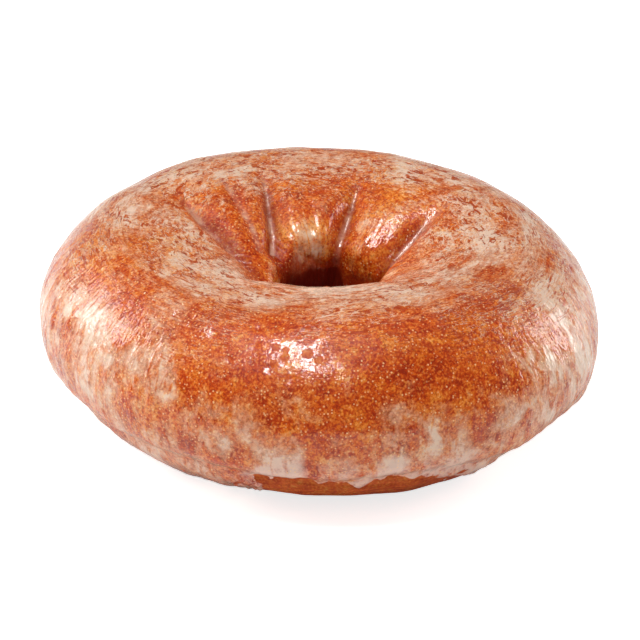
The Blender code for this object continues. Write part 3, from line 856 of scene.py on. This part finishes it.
# The dressed ring becomes one plain mesh, at rest on the table
skin = add_node(glaze, "GeometryNodeSetMaterial", skin, None, crust)
add_node(glaze, "NodeGroupOutput", skin)
run_tree(ring, glaze, GLAZE_SIZES)
shaped_mesh = bpy.data.meshes.new_from_object(
    ring.evaluated_get(bpy.context.evaluated_depsgraph_get()))
doughnut = bpy.data.objects.new("glazed_doughnut", shaped_mesh)
bpy.context.scene.collection.objects.link(doughnut)
bpy.data.objects.remove(ring)
shaped_mesh.shade_smooth()
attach(doughnut, "root")
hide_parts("doughnut")


# The studio: a plain pale table top, which glows a little to the camera alone so that it
# stays white, and area lights. The box overhead lights the dough but doesn't show in the
# glaze, and the strip beside it only shines in the glaze.
TABLE_REACH, TABLE_GLOW = 3, 0.75
LIGHTS = (  # name, azimuth and elevation in degrees, distance, width, height, watts
    ("left_soft_box", 162, 23, 0.7, 0.34, 0.30, 2.35),
    ("right_soft_box", 23, 14, 0.7, 0.24, 0.42, 1.9),
    ("top_soft_box", -138, 75, 0.72, 0.16, 0.25, 2.8),
    ("top_strip", -136, 74, 0.7, 0.18, 0.50, 8.2),
)
# Lights higher than this many degrees face straight down, and the others face the ring
OVERHEAD = 45
# How bright the white room is, and how bright where it is mirrored
ROOM, MIRRORED_ROOM = 0.36, 0.06
floor_mesh = bpy.data.meshes.new("table_top")
corners = [(-1, -1), (1, -1), (1, 1), (-1, 1)]
floor_mesh.from_pydata([(x * TABLE_REACH, y * TABLE_REACH, 0) for x, y in corners], [],
                       [(0, 1, 2, 3)])
floor = bpy.data.objects.new("table_top", floor_mesh)
bpy.context.scene.collection.objects.link(floor)
paper = bpy.data.materials.new("white_paper")
paper.use_nodes = True
tree = paper.node_tree
shader = tree.nodes["Principled BSDF"]
shader.inputs["Base Color"].default_value = srgb("#F7F6F4")
shader.inputs["Roughness"].default_value = 0.9
shader.inputs["Emission Color"].default_value = srgb("#FFFFFF")
seen = add_node(tree, "ShaderNodeLightPath").outputs["Is Camera Ray"]
seen = add_node(tree, MATH, seen, TABLE_GLOW, operation="MULTIPLY")
tree.links.new(seen.outputs[0], shader.inputs["Emission Strength"])
floor_mesh.materials.append(paper)

MIDDLE = Vector((0, 0, 15.8 * MM))


def towards(azimuth, elevation):
    """The direction at an azimuth and elevation in degrees."""
    level = cos(radians(elevation))
    return Vector((level * cos(radians(azimuth)), level * sin(radians(azimuth)),
                   sin(radians(elevation))))


for name, azimuth, elevation, distance, width, tall, power in LIGHTS:
    lamp = bpy.data.lights.new(name, "AREA")
    lamp.shape = "RECTANGLE"
    lamp.size, lamp.size_y = width, tall
    lamp.energy = power
    lamp_object = bpy.data.objects.new(name, lamp)
    lamp_object.location = MIDDLE + towards(azimuth, elevation) * distance
    lamp_object.visible_diffuse = name != "top_strip"
    lamp_object.visible_glossy = name != "top_soft_box"
    if elevation < OVERHEAD:
        lamp_object.rotation_euler = towards(azimuth, elevation).to_track_quat("Z", "Y").to_euler()
    bpy.context.scene.collection.objects.link(lamp_object)

world = bpy.data.worlds.new("white_room")
world.use_nodes = True
tree = world.node_tree
background = tree.nodes["Background"]
background.inputs["Color"].default_value = srgb("#FFFFFF")
glossy = add_node(tree, "ShaderNodeLightPath").outputs["Is Glossy Ray"]
strength = add_node(tree, RANGE, glossy, 0.0, 1.0, ROOM, MIRRORED_ROOM)
tree.links.new(strength.outputs[0], background.inputs["Strength"])
bpy.context.scene.world = world
bpy.context.scene.view_settings.view_transform = "Standard"

# The camera stands in front of the ring, with its frame shifted by a few pixels
CAMERA_ELEVATION, CAMERA_DISTANCE = 26.7, 0.480
FRAME_WIDTH = 640
lens = bpy.data.cameras.new("camera")
lens.sensor_width = 36.0
lens.lens = 157.7
lens.shift_x = 2.7 / FRAME_WIDTH
lens.shift_y = -7.3 / FRAME_WIDTH
camera = bpy.data.objects.new("camera", lens)
to_camera = towards(-90, CAMERA_ELEVATION)
camera.location = MIDDLE + to_camera * CAMERA_DISTANCE
camera.rotation_euler = to_camera.to_track_quat("Z", "Y").to_euler()
bpy.context.scene.collection.objects.link(camera)
bpy.context.scene.camera = camera
